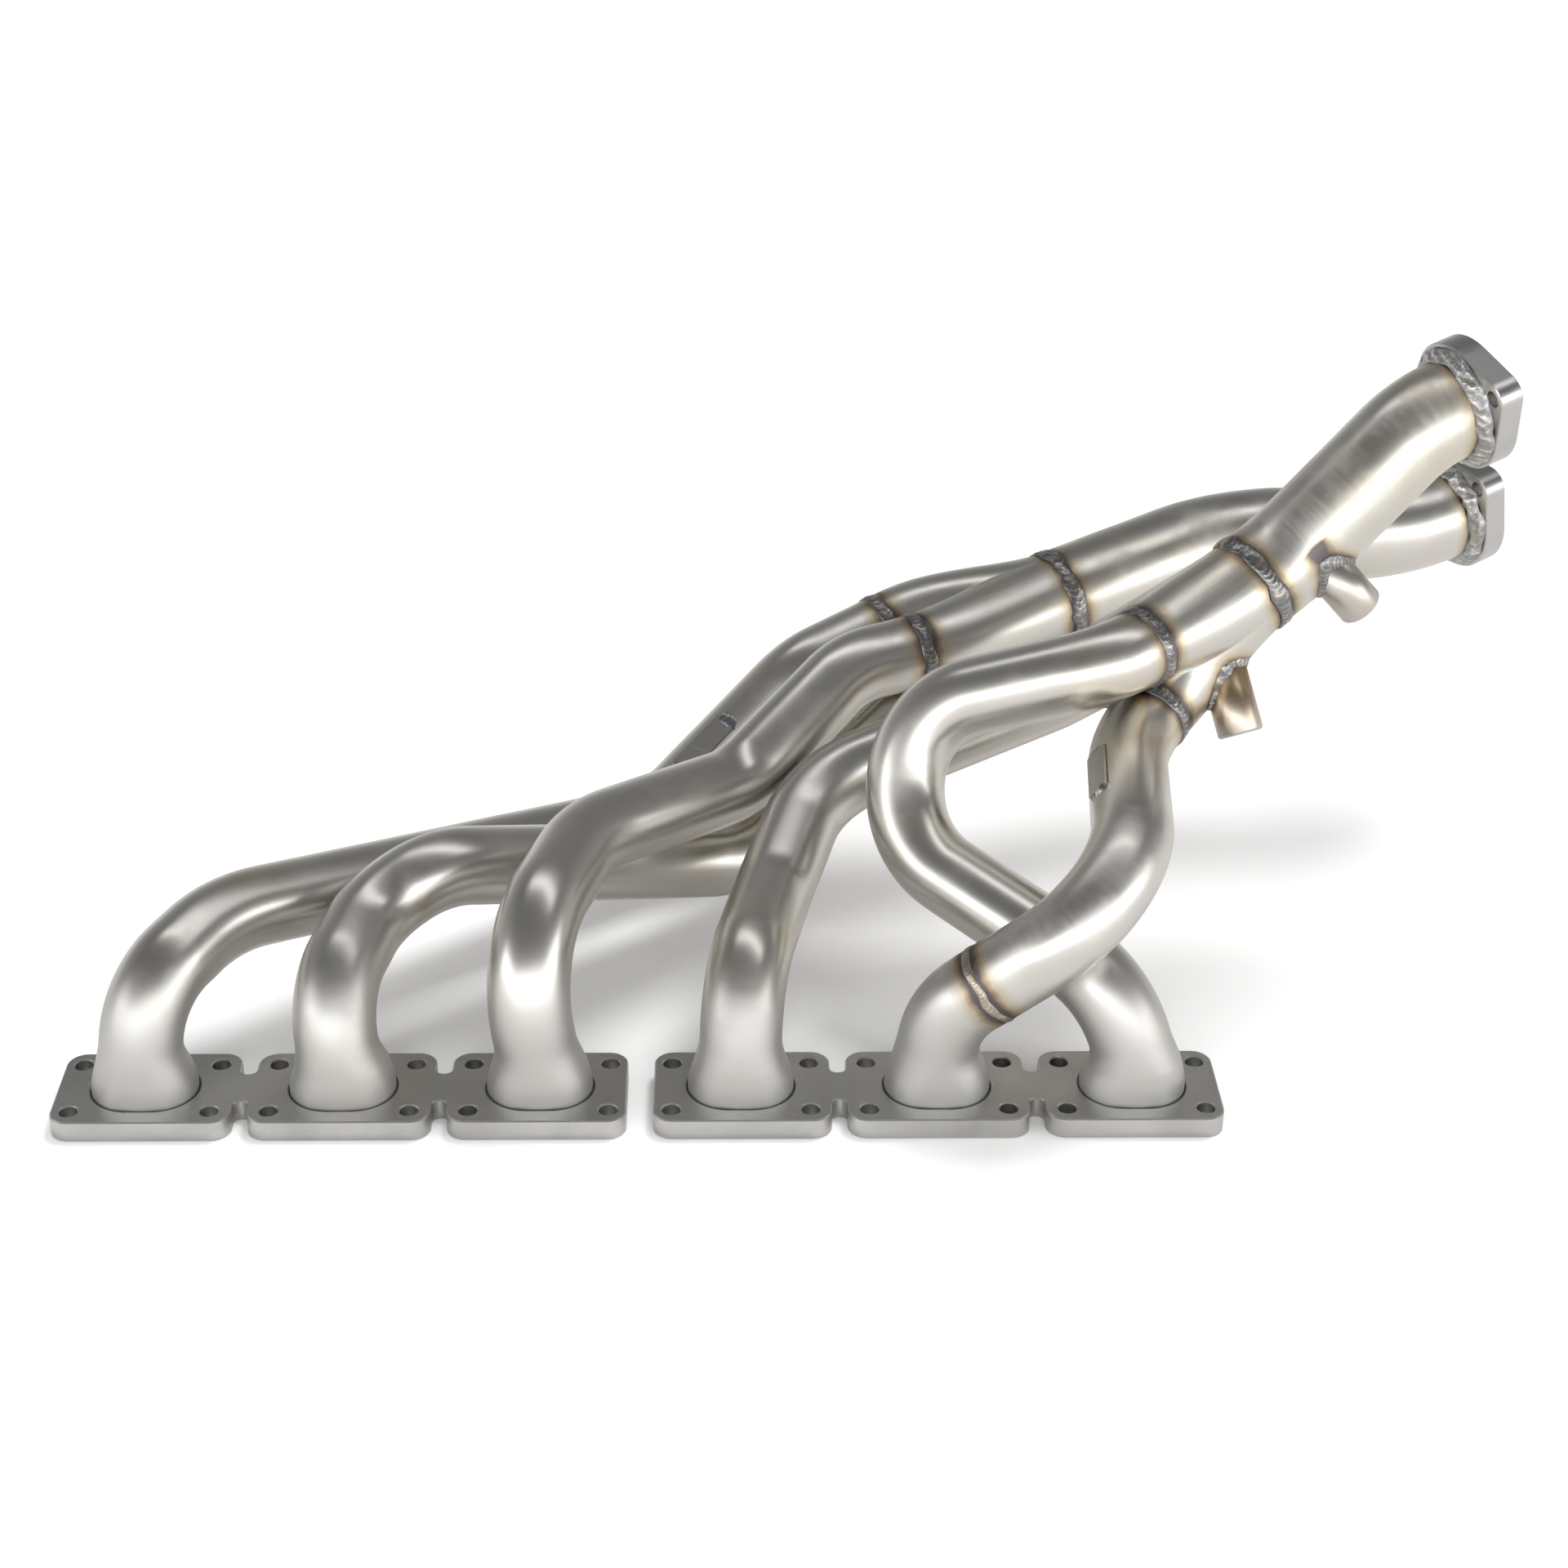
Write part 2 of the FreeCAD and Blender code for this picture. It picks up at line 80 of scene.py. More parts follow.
# centre lines, as in the CAD model: corners, and the radius of the arc at each corner
PRIMARIES = {
    1: ([(-1, 0, 59), (32, 54, 71), (232, 208, 37), (308, 240, 108), (352, 260, 122)],
        [38, 83, 44, 60]),
    2: ([(85, 1, 57), (101, 60, 69), (131, 78, 83), (276, 169, 35), (361, 236, 89)],
        [36, 44, 52, 50]),
    3: ([(173, 0, 85), (202, 88, 94), (275, 160, 84), (332, 208, 125), (366, 223, 127)],
        [48, 70, 46, 52]),
    4: ([(274, 1, 64), (291, 86, 64), (313, 150, 87), (431, 164, 133), (451, 164.4, 145)],
        [40, 52, 48, 50]),
    5: ([(365, 0, 48), (451, -10, 118), (461, 111, 128), (475, 131, 137)],
        [40, 56, 60]),
    6: ([(452, 1, 59), (352, 98, 84), (359, 130, 140), (449, 112, 172), (467, 128, 174)],
        [47, 49, 43, 46]),
}
OUTLETS = {
    "front": ([(443, 268.5, 137), (536, 312.5, 154.6), (629, 304, 158.6), (659, 319, 166)], [122, 108]),
    "rear": ([(525, 164, 192), (543, 173.2, 202.7), (605.6, 196, 262.7), (625, 204, 268.3)], [84, 64]),
}
TUBE_5_JOINT = 30.0
# name plates: the tube, the two corners of its run, the share of that run, and the way out of the tube
NAME_PLATES = {
    "front": (1, 2, 3, 0.42, (-0.5, -0.7, 0.6)),
    "rear": (5, 1, 2, 0.69, (-0.8, -0.3, 0.5)),
}
PLATE_L = 33.0
PLATE_W = 12.0
PLATE_BEAD_OUT = 1.6         # from the plate's end to the middle of its bead
PLATE_BEAD_SHARE = 0.56      # half the bead's length, as a share of the plate's width
PLATE_BEAD_SAG = 1.6         # how far the bead's ends follow the tube down
# bungs: the foot on the pipe's centre line, the way out, the depth to the pipe's surface, and the pipe
BUNGS = {
    "outlet_sensor_bung": ((548, 162.5, 214), (0.667, 0.067, -0.742), 25.0, "rear_outlet_pipe"),
    "collector_sensor_bung": ((505.5, 153.5, 172), (0.258, -0.477, -0.840), 30.0, "rear_collector"),
}


# ---------------------------------------------------------------- small tools

def unit(v):
    v = np.asarray(v, float)
    return v / np.linalg.norm(v)


def port_x(port):
    return (port - 1) * PORT_PITCH + (MANIFOLD_GAP if port > PORTS_PER_FLANGE else 0.0)


def smooth(t):
    t = np.clip(t, 0, 1)
    return t * t * (3 - 2 * t)


class Waves:
    """A smooth random field: a sum of plane waves with seeded directions, about -1 to 1."""

    def __init__(self, seed, length, count=14):
        rng = np.random.default_rng(seed)
        way = rng.normal(size=(count, 3))
        way /= np.linalg.norm(way, axis=1)[:, None]
        self.k = way * (FULL_TURN / (length * rng.uniform(0.6, 1.7, count)))[:, None]
        self.phase = rng.uniform(0, FULL_TURN, count)
        self.scale = math.sqrt(2.0 / count)

    def at(self, points):
        return np.sin(points @ self.k.T + self.phase).sum(-1) * self.scale


def mesh_piece(name, points, faces, uv=None, values=None):
    """A mesh object on the root body, from points in millimetres. uv and values are given per vertex."""
    mesh = bpy.data.meshes.new(name)
    mesh.from_pydata((np.asarray(points) * MM).tolist(), [], faces)
    mesh.polygons.foreach_set("use_smooth", [True] * len(mesh.polygons))
    if uv is not None:
        layer = mesh.uv_layers.new(name="flow")
        loops = np.zeros(len(mesh.loops), int)
        mesh.loops.foreach_get("vertex_index", loops)
        layer.data.foreach_set("uv", (uv[loops] * MM).ravel().astype(np.float32))
    if values is not None:
        attribute = mesh.attributes.new("relief", "FLOAT", "POINT")
        attribute.data.foreach_set("value", values.astype(np.float32))
    mesh.update()
    piece = bpy.data.objects.new(name, mesh)
    bpy.context.scene.collection.objects.link(piece)
    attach(piece, "root")
    return piece


def grid_faces(rows, columns, closed_rows=True):
    """Faces of a grid of points, row after row, each row a closed ring."""
    faces = []
    for i in range(rows if closed_rows else rows - 1):
        a = i * columns
        b = ((i + 1) % rows) * columns
        for j in range(columns):
            k = (j + 1) % columns
            faces.append((a + j, a + k, b + k, b + j))
    return faces


# ---------------------------------------------------------------- centre lines

class Route:
    """A centre line of straight runs joined by tangent arcs, with a frame that doesn't twist."""

    def __init__(self, points, radii, step=1.6):
        points = [np.array(p, float) for p in points]
        spots = []
        ways = []
        here = points[0]
        for before, corner, after, radius in zip(points, points[1:], points[2:], radii):
            way_in = unit(corner - before)
            way_out = unit(after - corner)
            turn = math.acos(np.clip(way_in @ way_out, -1, 1))
            start = corner - way_in * radius * math.tan(turn / 2)
            self.add_run(spots, ways, here, start, way_in, step)
            inward = unit(way_out - way_in * (way_in @ way_out))
            centre = start + inward * radius
            count = max(4, int(radius * turn / step))
            for a in np.arange(count) * turn / count:
                spots.append(centre - inward * radius * math.cos(a) + way_in * radius * math.sin(a))
                ways.append(way_in * math.cos(a) + inward * math.sin(a))
            here = corner + way_out * radius * math.tan(turn / 2)
        last = unit(points[-1] - points[-2])
        self.add_run(spots, ways, here, points[-1], last, step)
        spots.append(points[-1])
        ways.append(last)
        self.spots = np.array(spots)
        self.ways = np.array(ways)
        gaps = np.linalg.norm(np.diff(self.spots, axis=0), axis=1)
        self.along = np.concatenate([[0], np.cumsum(gaps)])
        self.end = self.spots[-1]
        self.direction = self.ways[-1]

    def add_run(self, spots, ways, start, end, way, step):
        """Samples of a straight run, without its last point."""
        length = np.linalg.norm(end - start)
        if length < 0.05:
            return
        count = max(1, int(length / step))
        for t in np.arange(count) / count:
            spots.append(start + (end - start) * t)
            ways.append(way)

    def eased_ways(self, reach):
        """The directions, each averaged over the line within reach of its place, and exact at both ends."""
        ways = np.zeros_like(self.ways)
        for i, place in enumerate(self.along):
            span = min(reach, place, self.along[-1] - place) + 0.01
            ways[i] = unit(self.ways[np.abs(self.along - place) <= span].mean(0))
        return ways

    def frames(self, ease):
        """Side vectors, carried along the line without twist."""
        ways = self.eased_ways(ease)
        side = np.zeros_like(ways)
        x = np.array((1.0, 0.0, 0.0))
        for i, way in enumerate(ways):
            x = unit(x - way * (x @ way))
            side[i] = x
        return side, np.cross(ways, side)

    def part(self, low, high):
        """The indices of the samples between two lengths along the line."""
        return np.where((self.along >= low) & (self.along <= high))[0]


def primary_route(port):
    """The line starts straight up out of the port, and leans over in an arc as large as the runs allow."""
    points, radii = PRIMARIES[port]
    foot = np.array((port_x(port), 0, TUBE_END_Z))
    knee = np.array((port_x(port), 0, SWELL_START_Z))
    lean = unit(np.subtract(points[0], knee))
    half = math.acos(np.clip(lean[2], -1, 1)) / 2
    next_half = math.acos(np.clip(lean @ unit(np.subtract(points[1], points[0])), -1, 1)) / 2
    room = min(SWELL_START_Z - TUBE_END_Z, np.linalg.norm(points[0] - knee) - radii[0] * math.tan(next_half))
    radius = max(4.0, 0.9 * room / max(math.tan(half), 0.01))
    return Route([foot, knee] + points, [radius] + radii)


# ---------------------------------------------------------------- tubes

AROUND = 96                  # points in each ring
TUBE_WAVE = 0.02             # how far the drawn surface is from true
TUBE_WAVE_LENGTH = 45.0


def oval_offsets(angles, inset):
    """The swelled end's section, flat sided, as offsets across and along Y."""
    r = OVAL_Y / 2 - inset
    flat = (OVAL_X - OVAL_Y) / 2
    lean = 0.37              # the cosine at which the flat side ends
    return r * np.cos(angles) + flat * np.clip(np.cos(angles) / lean, -1, 1), r * np.sin(angles)


def section(route, indices, radius, swell, waves):
    """Rings of points round the line. A swelled tube starts as an oval and turns round above the flange."""
    angles = np.arange(AROUND) * FULL_TURN / AROUND
    side, up = route.frames(KNEE_EASE if swell else 0.0)
    rings = []
    for i in indices:
        x = radius * np.cos(angles)
        y = radius * np.sin(angles)
        if swell:
            share = 1 - smooth((route.along[i] - SHOULDER_LOW) / (SHOULDER_HIGH - SHOULDER_LOW))
            ox, oy = oval_offsets(angles, TUBE_R - radius)
            x = x * (1 - share) + ox * share
            y = y * (1 - share) + oy * share
        ring = route.spots[i] + np.outer(x, side[i]) + np.outer(y, up[i])
        if waves is not None:
            out = ring - route.spots[i]
            out /= np.linalg.norm(out, axis=1)[:, None]
            ring = ring + out * waves.at(ring)[:, None] * TUBE_WAVE
        rings.append(ring)
    return np.array(rings)


def pipe(name, route, radius, wall, indices, swell, seed):
    """A hollow tube with its wall, as one closed surface: outside, end rims and bore."""
    outside = section(route, indices, radius, swell, Waves(seed, TUBE_WAVE_LENGTH))
    inside = section(route, indices[::-1], radius - wall, swell, None)
    rings = np.concatenate([outside, inside])
    count = len(rings)
    along = np.concatenate([route.along[indices], route.along[indices[::-1]]])
    angles = np.arange(AROUND) * FULL_TURN / AROUND
    mirrored = np.minimum(angles, FULL_TURN - angles) * radius    # so that the two halves meet without a seam
    uv = np.stack([np.repeat(along, AROUND), np.tile(mirrored, count)], 1)
    return mesh_piece(name, rings.reshape(-1, 3), grid_faces(count, AROUND), uv)


# ---------------------------------------------------------------- weld beads

BEAD_STEP = 0.42             # between the samples along a bead
BEAD_TOPS = 25               # points across its dome
BEAD_UNDERS = 5              # points across its underside
BEAD_SUNK = 0.9              # how far the underside lies in the metal
BEAD_EDGE = 0.15             # how far the edges of the dome do
RIDGE_AT = 0.15              # the raised front edge of each puddle, as a share of the pitch
RIDGE_WIDE = 0.12


class BeadShape:
    """How wide, high and coarse a bead is, in millimetres, and the seed of its unevenness."""

    def __init__(self, width, height, pitch, ripple, lumps, seed):
        self.width = width
        self.height = height
        self.pitch = pitch
        self.ripple = ripple
        self.lumps = lumps
        self.seed = seed


def bead(name, path, outward, shape, closed=True):
    """A rippled bead along a path on the metal: overlapping puddles, each with a raised front edge.

    Its relief, which the weld metal's colour reads, is high on the ridges and 0 at the edges, so that the
    ridges and crown get a painted highlight.
    """
    path = np.asarray(path, float)
    outward = np.asarray(outward, float)
    ahead = np.roll(path, -1, 0) - np.roll(path, 1, 0)
    if not closed:
        ahead[0] = path[1] - path[0]
        ahead[-1] = path[-1] - path[-2]
    ahead /= np.linalg.norm(ahead, axis=1)[:, None]
    side = np.cross(ahead, outward)
    side /= np.linalg.norm(side, axis=1)[:, None]
    gaps = np.linalg.norm(np.roll(path, -1, 0) - path, axis=1)
    along = np.concatenate([[0], np.cumsum(gaps)])[:-1]
    total = along[-1] + (gaps[-1] if closed else 0)
    puddles = max(3, round(total / shape.pitch))
    rng = np.random.default_rng(shape.seed)
    wobble = Waves(shape.seed + 1, 11.0)
    lumps = Waves(shape.seed + 2, 5.0, 20)
    fine = Waves(shape.seed + 3, 1.5, 24)
    across = np.concatenate([np.linspace(-1, 1, BEAD_TOPS), np.linspace(1, -1, BEAD_UNDERS + 2)[1:-1]])
    width = shape.width * (1 + 0.10 * wobble.at(path))
    shift = 0.4 * wobble.at(path + 50.0)
    ends = np.ones(len(path))
    if not closed:
        ends = smooth(np.minimum(along, total - along) / (shape.width * 0.45))
        width = width * (0.35 + 0.65 * ends)
    jitter = np.cumsum(rng.normal(0, 0.05, len(path)))
    jitter -= np.linspace(0, jitter[-1], len(path))
    points = np.zeros((len(path), len(across), 3))
    relief = np.zeros((len(path), len(across)))
    for j, w in enumerate(across):
        base = path + side * (w * width / 2 + shift)[:, None]
        if j >= BEAD_TOPS:
            points[:, j] = base - outward * BEAD_SUNK
            continue
        dome = (1 - abs(w) ** 2.6) ** 0.6
        phase = (along / total) * puddles + jitter + 0.9 * w * w
        share = phase - np.floor(phase)
        ridge = sum(np.exp(-((share - place) / RIDGE_WIDE) ** 2) for place in (RIDGE_AT, 1 + RIDGE_AT))
        sag = smooth(share) * (1 - smooth(share))
        rough = shape.lumps * (lumps.at(base) * 0.7 + fine.at(base) * 0.16)
        lift = shape.height * (0.85 + 0.12 * wobble.at(base)) + shape.ripple * (ridge - 1.2 * sag) + rough
        points[:, j] = base + outward * (lift * dome * ends - BEAD_EDGE)[:, None]
        # relief for the colour: high on ridges, lumps and crown, where the weld metal paints a highlight
        relief[:, j] = dome * (0.25 + 0.45 * ridge + 1.1 * rough)
    rows, columns = relief.shape
    faces = grid_faces(rows, columns, closed_rows=closed)
    if not closed:
        faces.append(tuple(range(columns)))
        faces.append(tuple((rows - 1) * columns + j for j in reversed(range(columns))))
    return mesh_piece(name, points.reshape(-1, 3), faces, None, relief.ravel())


def ring_path(centre, way, radius):
    """Points round a pipe, and their outward directions."""
    count = int(FULL_TURN * radius / BEAD_STEP)
    a = np.arange(count) * FULL_TURN / count
    way = unit(way)
    x = unit(np.cross(way, (0.3, 0.2, 0.93)))
    y = np.cross(way, x)
    out = np.outer(np.cos(a), x) + np.outer(np.sin(a), y)
    return np.asarray(centre) + out * radius, out


def surface_of(node):
    """A tree of a CAD node's surface, in millimetres, for finding where a bead lies."""
    mesh = NODES[node].data
    points = np.zeros(len(mesh.vertices) * 3)
    mesh.vertices.foreach_get("co", points)
    polygons = [tuple(p.vertices) for p in mesh.polygons]
    return BVHTree.FromPolygons((points.reshape(-1, 3) / MM).tolist(), polygons)


def bung_path(name):
    """Where a bung's outside meets the pipe that it stands on, and the way out of that corner."""
    foot, way, depth, host = BUNGS[name]
    way = unit(way)
    reach = 40.0             # the rays start this far above the pipe's surface
    clear = 0.3              # and this far outside the bung
    tree = surface_of(host)
    x = unit(np.cross(way, (0, 0, 1)))
    y = np.cross(way, x)
    path = []
    outward = []
    count = int(FULL_TURN * BUNG_R / BEAD_STEP)
    for a in np.arange(count) * FULL_TURN / count:
        out = x * math.cos(a) + y * math.sin(a)
        start = np.array(foot) + way * (depth + reach) + out * (BUNG_R + clear)
        spot, normal, _, _ = tree.ray_cast(Vector(start), Vector(-way), 2 * reach + depth)
        if spot is None:
            continue
        normal = np.array(normal) * (1 if np.dot(normal, way) > 0 else -1)
        path.append(np.array(spot))
        outward.append(unit(out * 0.9 + normal))
    return np.array(path), np.array(outward)


# ---------------------------------------------------------------- bungs and plates

def turned(name, profile, foot, way):
    """A closed turned shape: profile is (radius, height) pairs round its section, in order."""
    way = unit(way)
    x = unit(np.cross(way, (0, 0, 1)))
    y = np.cross(way, x)
    angles = np.arange(AROUND) * FULL_TURN / AROUND
    out = np.outer(np.cos(angles), x) + np.outer(np.sin(angles), y)
    rings = [np.asarray(foot) + way * h + out * r for r, h in profile]
    faces = grid_faces(len(rings), AROUND)
    heights = np.repeat([h for _, h in profile], AROUND)
    around = np.tile(np.minimum(angles, FULL_TURN - angles) * BUNG_R, len(rings))
    return mesh_piece(name, np.concatenate(rings), faces, np.stack([heights, around], 1))


def bung(name):
    """A sensor bung with a chamfered mouth, whose corners are eased, and thread grooves in its bore."""
    foot, way, depth, _ = BUNGS[name]
    low = depth - BUNG_SEATED
    top = depth + BUNG_STAND
    chamfer = 1.0
    pitch = 1.5
    groove = BUNG_BORE_R + 0.75
    profile = [(BUNG_R, low), (BUNG_R, top - chamfer - 0.15), (BUNG_R - 0.15, top - chamfer + 0.1),
               (BUNG_R - chamfer + 0.1, top - 0.15), (BUNG_R - chamfer - 0.15, top),
               (BUNG_BORE_R + 1.0, top), (BUNG_BORE_R + 0.8, top - 0.1), (BUNG_BORE_R + 0.05, top - 0.9)]
    h = top - 1.2
    while h > low + pitch:
        profile += [(BUNG_BORE_R, h), (groove, h - 0.45 * pitch), (groove, h - 0.55 * pitch)]
        h -= pitch
    profile += [(BUNG_BORE_R, h), (BUNG_BORE_R, low)]
    return turned(name + "_turned", profile, foot, way)


# ---------------------------------------------------------------- node tools

class Graph:
    """Short calls for building one material."""

    def __init__(self, name):
        self.material = bpy.data.materials.new(name)
        self.material.use_nodes = True
        self.tree = self.material.node_tree
        self.tree.nodes.clear()
        self.output = self.tree.nodes.new("ShaderNodeOutputMaterial")
        self.coords = self.tree.nodes.new("ShaderNodeTexCoord").outputs["Object"]

    def node(self, kind, inputs=None, **settings):
        made = self.tree.nodes.new(kind)
        for key, value in settings.items():
            setattr(made, key, value)
        for key, value in (inputs or {}).items():
            self.feed(made.inputs[key], value)
        return made

    def feed(self, socket, value):
        if isinstance(value, bpy.types.NodeSocket):
            self.tree.links.new(value, socket)
        else:
            socket.default_value = value

    def math(self, operation, a, b=0.0):
        return self.node("ShaderNodeMath", {0: a, 1: b}, operation=operation).outputs[0]

    def vector(self, operation, a, b=(0, 0, 0)):
        return self.node("ShaderNodeVectorMath", {0: a, 1: b}, operation=operation)

    def scaled(self, vector, scale):
        return self.vector("MULTIPLY", vector, scale).outputs[0]

    def noise(self, vector, scale, detail=3.0, roughness=0.55, distortion=0.0):
        inputs = {"Vector": vector, "Scale": scale, "Detail": detail, "Roughness": roughness,
                  "Distortion": distortion}
        return self.node("ShaderNodeTexNoise", inputs).outputs["Fac"]

    def ramp(self, fac, *stops):
        """Colours between stops, which are (place, colour) pairs."""
        made = self.node("ShaderNodeValToRGB", {"Fac": fac})
        made.color_ramp.interpolation = "EASE"
        elements = made.color_ramp.elements
        while len(elements) < len(stops):
            elements.new(0.5)
        for element, (place, colour) in zip(elements, stops):
            element.position = place
            element.color = (*colour, 1)
        return made.outputs["Color"]

    def span(self, value, low, high, to_low=0.0, to_high=1.0, smooth_step=True):
        """The value's place between low and high, as a number between to_low and to_high."""
        kind = "SMOOTHSTEP" if smooth_step else "LINEAR"
        return self.node("ShaderNodeMapRange", {"Value": value, "From Min": low, "From Max": high,
                                                "To Min": to_low, "To Max": to_high},
                         interpolation_type=kind).outputs["Result"]

    def mix(self, fac, a, b, blend="MIX"):
        made = self.tree.nodes.new("ShaderNodeMix")
        made.data_type = "RGBA"
        made.blend_type = blend
        colours = [s for s in made.inputs if s.type == "RGBA"]
        self.feed(made.inputs[0], fac)
        self.feed(colours[0], a if isinstance(a, bpy.types.NodeSocket) else (*a, 1))
        self.feed(colours[1], b if isinstance(b, bpy.types.NodeSocket) else (*b, 1))
        return [s for s in made.outputs if s.type == "RGBA"][0]

    def bump(self, height, strength, distance):
        inputs = {"Height": height, "Strength": strength, "Distance": distance}
        return self.node("ShaderNodeBump", inputs).outputs["Normal"]

    def finish(self, colour, roughness, normal):
        """Metal, never so smooth that its fine lines turn to noise."""
        roughness = self.math("MAXIMUM", roughness, LEAST_ROUGH)
        shader = self.node("ShaderNodeBsdfPrincipled", {"Base Color": colour, "Roughness": roughness})
        shader.inputs["Metallic"].default_value = 1.0
        self.feed(shader.inputs["Normal"], normal)
        self.tree.links.new(shader.outputs[0], self.output.inputs[0])
        return self.material

    def from_point(self, spot):
        """Distance from a point, in millimetres."""
        off = self.vector("SUBTRACT", self.coords, tuple(np.asarray(spot) * MM)).outputs[0]
        return self.math("MULTIPLY", self.vector("LENGTH", off).outputs["Value"], 1 / MM)

    def from_ring(self, centre, way, radius):
        """Distance along a pipe from a weld round it, in millimetres, and large away from that pipe."""
        off = self.vector("SUBTRACT", self.coords, tuple(np.asarray(centre) * MM)).outputs[0]
        along = self.vector("DOT_PRODUCT", off, tuple(unit(way))).outputs["Value"]
        flat = self.math("MULTIPLY", self.math("ABSOLUTE", along), 1 / MM)
        away = self.math("MULTIPLY", self.vector("LENGTH", off).outputs["Value"], 1 / MM)
        beyond = radius * 1.18
        far = self.math("MAXIMUM", self.math("SUBTRACT", away, beyond), 0.0)
        return self.math("ADD", flat, far)

    def from_rod(self, foot, way, radius):
        """Twice the distance from the outside of a bung, in millimetres, as its heat reaches less far."""
        off = self.vector("SUBTRACT", self.coords, tuple(np.asarray(foot) * MM)).outputs[0]
        square = self.vector("CROSS_PRODUCT", off, tuple(unit(way))).outputs[0]
        away = self.math("MULTIPLY", self.vector("LENGTH", square).outputs["Value"], 1 / MM)
        ahead = self.vector("DOT_PRODUCT", off, tuple(unit(way))).outputs["Value"]
        behind = self.math("MAXIMUM", self.math("MULTIPLY", ahead, -4 / MM), 0.0)
        near = self.math("MULTIPLY", self.math("ABSOLUTE", self.math("SUBTRACT", away, radius)), 2.0)
        return self.math("ADD", near, behind)


# ---------------------------------------------------------------- materials

LEAST_ROUGH = 0.29
FINE_STRENGTH = 0.45         # of the drawn lines on tubes and collectors, with their depth in metres
FINE_DEPTH = 0.00008
BLAST_FULL = 34.0            # from the foot of a port, blasted all over up to here
BLAST_GONE = 74.0            # and not at all from here
BLASTED = (0.55, 0.545, 0.53)
TINT_DARK = 3.6              # from the middle of a weld, darkest up to here
TINT_GONE = 13.5
STEEL = (0.66, 0.645, 0.605)
# straw and lilac: partly a slight oxide tint of the steel, partly painted reflection
STRAW = (0.69, 0.625, 0.50)
LILAC = (0.64, 0.615, 0.645)


def heat_tint(g, colour, welds):
    """Bands of oxide colour beside the welds: blue-grey, brown, gold and then straw. Thin welds are bungs."""
    distances = [g.from_ring(*w) if w[2] > BUNG_R else g.from_rod(*w) for w in welds]
    nearest = distances[0]
    for other in distances[1:]:
        nearest = g.math("MINIMUM", nearest, other)
    ragged = g.noise(g.coords, 160.0, 4.0)
    broad = g.noise(g.coords, 38.0, 2.0)
    nearest = g.math("ADD", nearest, g.math("MULTIPLY", g.math("SUBTRACT", ragged, 0.5), 3.4))
    nearest = g.math("ADD", nearest, g.math("MULTIPLY", g.math("SUBTRACT", broad, 0.5), 5.5))
    share = g.span(nearest, TINT_DARK, TINT_GONE, smooth_step=False)
    tint = g.ramp(share, (0.0, (0.20, 0.19, 0.20)), (0.10, (0.38, 0.31, 0.25)), (0.22, (0.60, 0.49, 0.37)),
                  (0.42, (0.85, 0.77, 0.64)), (0.70, (0.95, 0.92, 0.86)), (1.0, (1.0, 1.0, 1.0)))
    return g.mix(1.0, colour, tint, "MULTIPLY"), share


def tube_steel(name, port, welds, lines):
    """Drawn stainless tube: blasted near its port, if it has one, and satin beyond.

    It has fine lines round it, as strong as lines says, and heat tint at its welds.
    """
    g = Graph(name)
    flow = g.node("ShaderNodeUVMap", uv_map="flow").outputs["UV"]
    # faint straw and lilac patches at random: partly a slight oxide tint, partly painted reflection
    cloud = g.noise(g.coords, 14.0, 3.0, distortion=0.6)
    tone = g.mix(g.span(cloud, 0.50, 0.72, 0.0, 0.55), STEEL, STRAW)
    other = g.noise(g.vector("ADD", g.coords, (3.1, 1.7, 0.4)).outputs[0], 18.0, 2.0)
    tone = g.mix(g.span(other, 0.55, 0.75, 0.0, 0.35), tone, LILAC)
    rings = g.noise(g.scaled(flow, (1.0, 0.06, 1.0)), 420.0, 2.0, 0.6)
    grain = g.noise(g.scaled(flow, (0.08, 1.0, 1.0)), 320.0, 2.0, 0.5)
    worn = g.noise(g.coords, 30.0, 3.0)
    line_share = g.math("MULTIPLY", g.span(worn, 0.40, 0.66), lines)
    roughness = g.math("ADD", 0.28, g.math("MULTIPLY", g.math("MULTIPLY", rings, line_share), 0.26))
    roughness = g.math("ADD", roughness, g.math("MULTIPLY", g.math("SUBTRACT", worn, 0.5), 0.08))
    height = g.math("ADD", g.math("MULTIPLY", rings, line_share), g.math("MULTIPLY", grain, 0.12))
    if port is not None:
        reach = g.from_point((port_x(port), 0, FLANGE_T))
        reach = g.math("ADD", reach, g.math("MULTIPLY", g.math("SUBTRACT", cloud, 0.5), 46.0))
        blast = g.span(reach, BLAST_FULL, BLAST_GONE, 1.0, 0.0)
        roughness = g.math("ADD", roughness, g.math("MULTIPLY", blast, 0.22))
        tone = g.mix(g.math("MULTIPLY", blast, 0.85), tone, BLASTED)
        pores = g.noise(g.coords, 1100.0, 3.0, 0.65)
        height = g.math("ADD", height, g.math("MULTIPLY", g.math("MULTIPLY", pores, blast), 0.8))
    tone, share = heat_tint(g, tone, welds)
    roughness = g.math("ADD", roughness, g.math("MULTIPLY", g.math("SUBTRACT", 1.0, share), 0.10))
    return g.finish(tone, roughness, g.bump(height, FINE_STRENGTH, FINE_DEPTH))


